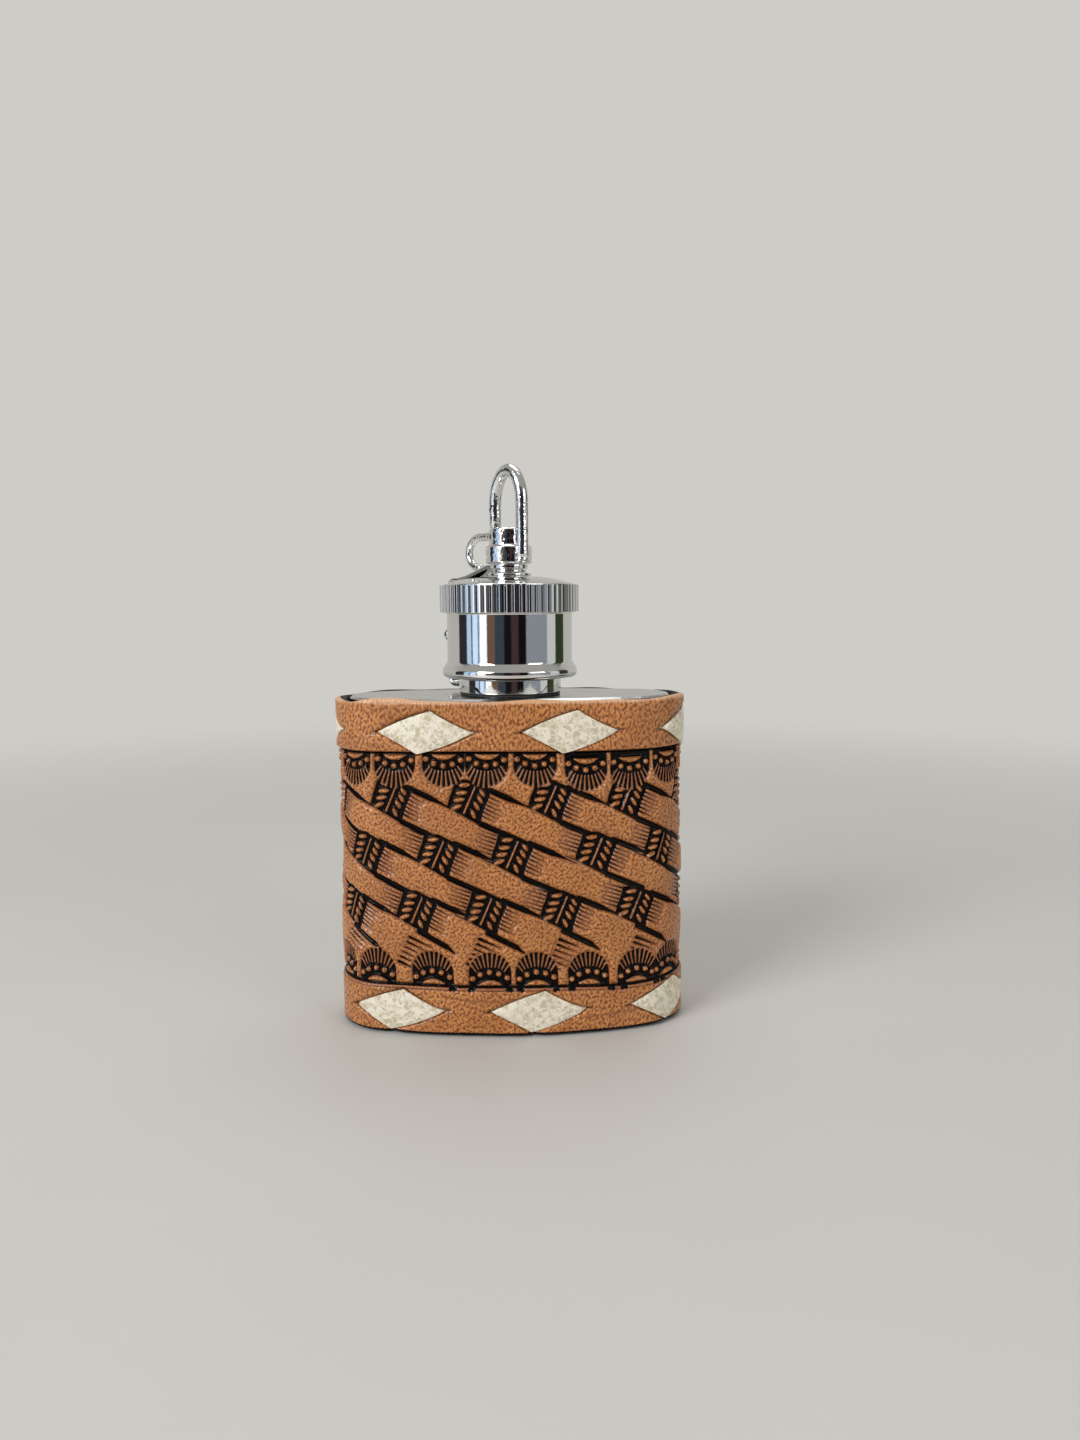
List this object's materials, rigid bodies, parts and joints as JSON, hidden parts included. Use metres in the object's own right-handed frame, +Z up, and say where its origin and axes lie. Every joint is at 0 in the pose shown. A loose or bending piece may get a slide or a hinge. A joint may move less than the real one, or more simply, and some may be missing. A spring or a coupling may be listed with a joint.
{
  "type": "keychain hip flask",
  "caption": "Keychain hip flask: steel body in a tooled, laced leather cover, with a captive screw cap and a swivelling trigger snap hook.",
  "frame": {"origin": "the middle of the flat bottom plate, on the surface that the flask stands on", "axes": "+Z up along the neck, -Y out of the front face, +X to the right of the front face"},
  "size_m": [0.0508, 0.0225, 0.0798],
  "materials": {
    "steel": "polished stainless steel",
    "chrome": "bright chrome plate",
    "leather": "satin vegetable-tanned leather, stamped and dyed black in the background",
    "lace": "ivory lace with a fine crackle",
    "thread": "waxed thread",
    "black_rubber": "matt black rubber",
    "white_plastic": "moulded white plastic",
    "silicone": "milky silicone",
    "spring_steel": "bright spring wire"
  },
  "bodies": {
    "flask": {"flask_sleeve": "steel", "top_plate": "steel", "bottom_plate": "steel", "neck": "steel", "neck_washer": "black_rubber", "leather_cover": "leather", "top_lace": "lace", "bottom_lace": "lace", "seam_thread": "thread"},
    "seal": {"cap_seal": "silicone"},
    "captive": {"captive_collar": "chrome", "hinge_pin": "chrome", "captive_arm": "chrome"},
    "cap": {"cap_shell": "chrome", "cap_insert": "white_plastic", "swivel_rivet": "steel", "swivel_washer": "chrome", "swivel_bush": "chrome"},
    "hook": {"hook_body": "chrome", "gate_pin": "steel", "gate_spring": "spring_steel"},
    "gate": {"gate_lever": "chrome"}
  },
  "joints": [
    {"name": "cap_lift", "type": "slide", "parent": "flask", "child": "seal", "axis": [0, 0, 1], "range_m": [0, 0.0035]},
    {"name": "cap_turn", "type": "hinge", "parent": "seal", "child": "cap", "pos_m": [0, 0, 0.0562], "axis": [0, 0, 1], "range_deg": [0, 630]},
    {"name": "collar_turn", "type": "hinge", "parent": "seal", "child": "captive", "pos_m": [0, 0, 0.0487], "axis": [0, 0, 1], "continuous": true},
    {"name": "hook_swivel", "type": "hinge", "parent": "cap", "child": "hook", "pos_m": [0, 0, 0.0658], "axis": [0, 0, 1], "continuous": true},
    {"name": "gate_open", "type": "hinge", "parent": "hook", "child": "gate", "pos_m": [-0.00063, 0.00078, 0.0696], "axis": [0.7771, 0.6293, 0], "range_deg": [0, 25], "stiffness_Nm_per_rad": 0.004, "springref_deg": -20.05, "deforming": ["gate_spring"]}
  ],
  "couplings": [
    {"joint": "cap_lift", "follows": "cap_turn", "m_per_rad": 0.0003183}
  ]
}
